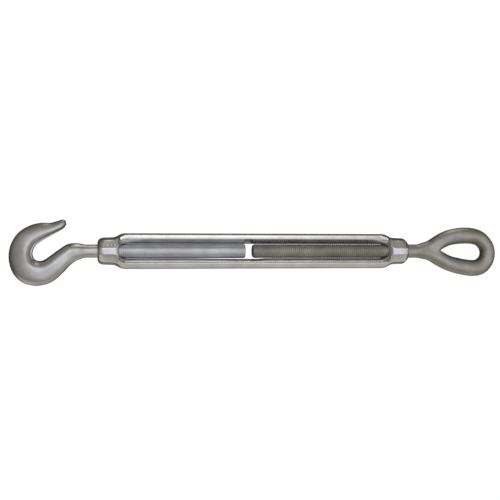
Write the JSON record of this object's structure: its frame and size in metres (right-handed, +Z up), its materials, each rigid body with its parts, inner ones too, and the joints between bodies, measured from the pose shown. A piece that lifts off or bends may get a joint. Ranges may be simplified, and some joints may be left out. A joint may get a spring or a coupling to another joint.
{
  "type": "rigging turnbuckle",
  "caption": "Open-body forged turnbuckle with a hook at one end and an eye at the other, for tensioning rope, wire or chain rigging.",
  "frame": {"origin": "middle of the body on the thread axis, at the centre of the open window", "axes": "+X along the thread axis from the hook towards the eye; +Y in the plane of the two rails, towards the hook's tip; +Z up, square to that plane, with the part lying flat"},
  "size_m": [0.557, 0.0723, 0.03],
  "materials": {
    "body_zinc": "hot-dip galvanised, smooth and fairly bright",
    "hook_zinc": "hot-dip galvanised, satin grey",
    "eye_zinc": "hot-dip galvanised, dull grey"
  },
  "bodies": {
    "body": {"body": "body_zinc"},
    "hook_end": {"hook_end": "hook_zinc"},
    "eye_end": {"eye_end": "eye_zinc"}
  },
  "joints": [
    {"name": "eye_travel", "type": "slide", "parent": "body", "child": "eye_end", "axis": [1, 0, 0], "range_m": [-0.0035, 0.138]},
    {"name": "hook_travel", "type": "slide", "parent": "body", "child": "hook_end", "axis": [-1, 0, 0], "range_m": [-0.0035, 0.138]}
  ],
  "couplings": [
    {"joint": "hook_travel", "follows": "eye_travel", "ratio": 1}
  ]
}
